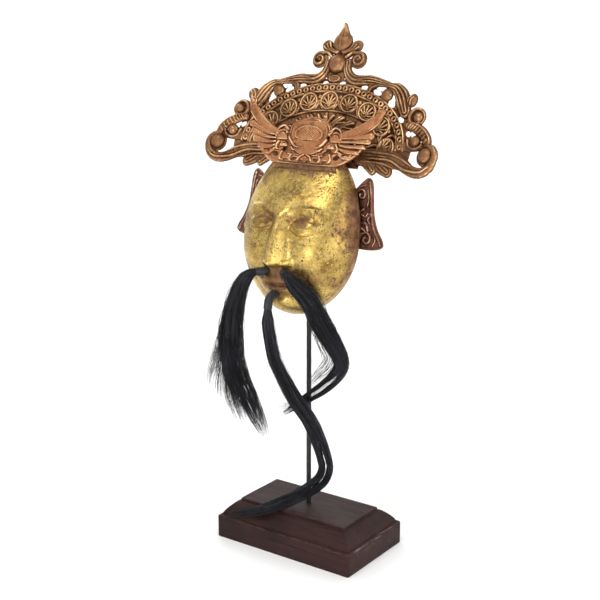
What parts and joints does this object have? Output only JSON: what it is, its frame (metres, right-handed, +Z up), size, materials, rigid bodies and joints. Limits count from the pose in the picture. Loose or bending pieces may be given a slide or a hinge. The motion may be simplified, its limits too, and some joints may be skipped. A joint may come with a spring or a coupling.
{
  "type": "wooden mask on a stand",
  "caption": "Gilded wooden face mask with a pierced copper headdress, ear plates and long hair tufts, held up by a rod on a moulded wooden plinth.",
  "frame": {"origin": "centre of the plinth's underside, on the axis of the rod", "axes": "+Z up along the rod, the mask faces -Y, and +X is towards the mask's own left"},
  "size_m": [0.3302, 0.175, 0.6398],
  "materials": {
    "dark_wood": "dark stained hardwood, low sheen",
    "black_rod": "black paint, satin",
    "gilded_wood": "gold leaf over red-brown ground, worn",
    "brown_copper": "embossed and pierced sheet, brown patina with bright ridges",
    "bright_copper": "embossed and pierced sheet, bright copper",
    "dark_copper": "embossed sheet, dark red-brown patina",
    "black_hair": "black horsehair, slight sheen",
    "black_thread": "black thread wound round the lock"
  },
  "bodies": {
    "root": {"plinth": "dark_wood", "rod": "black_rod", "mask": "gilded_wood", "headdress_panel": "brown_copper", "front_crest": "bright_copper", "ear_plate_left": "dark_copper", "ear_plate_right": "dark_copper", "beard": "black_hair", "moustache_left": "black_hair", "moustache_right": "black_hair", "beard_binding": "black_thread", "moustache_left_binding": "black_thread", "moustache_right_binding": "black_thread"}
  },
  "joints": []
}
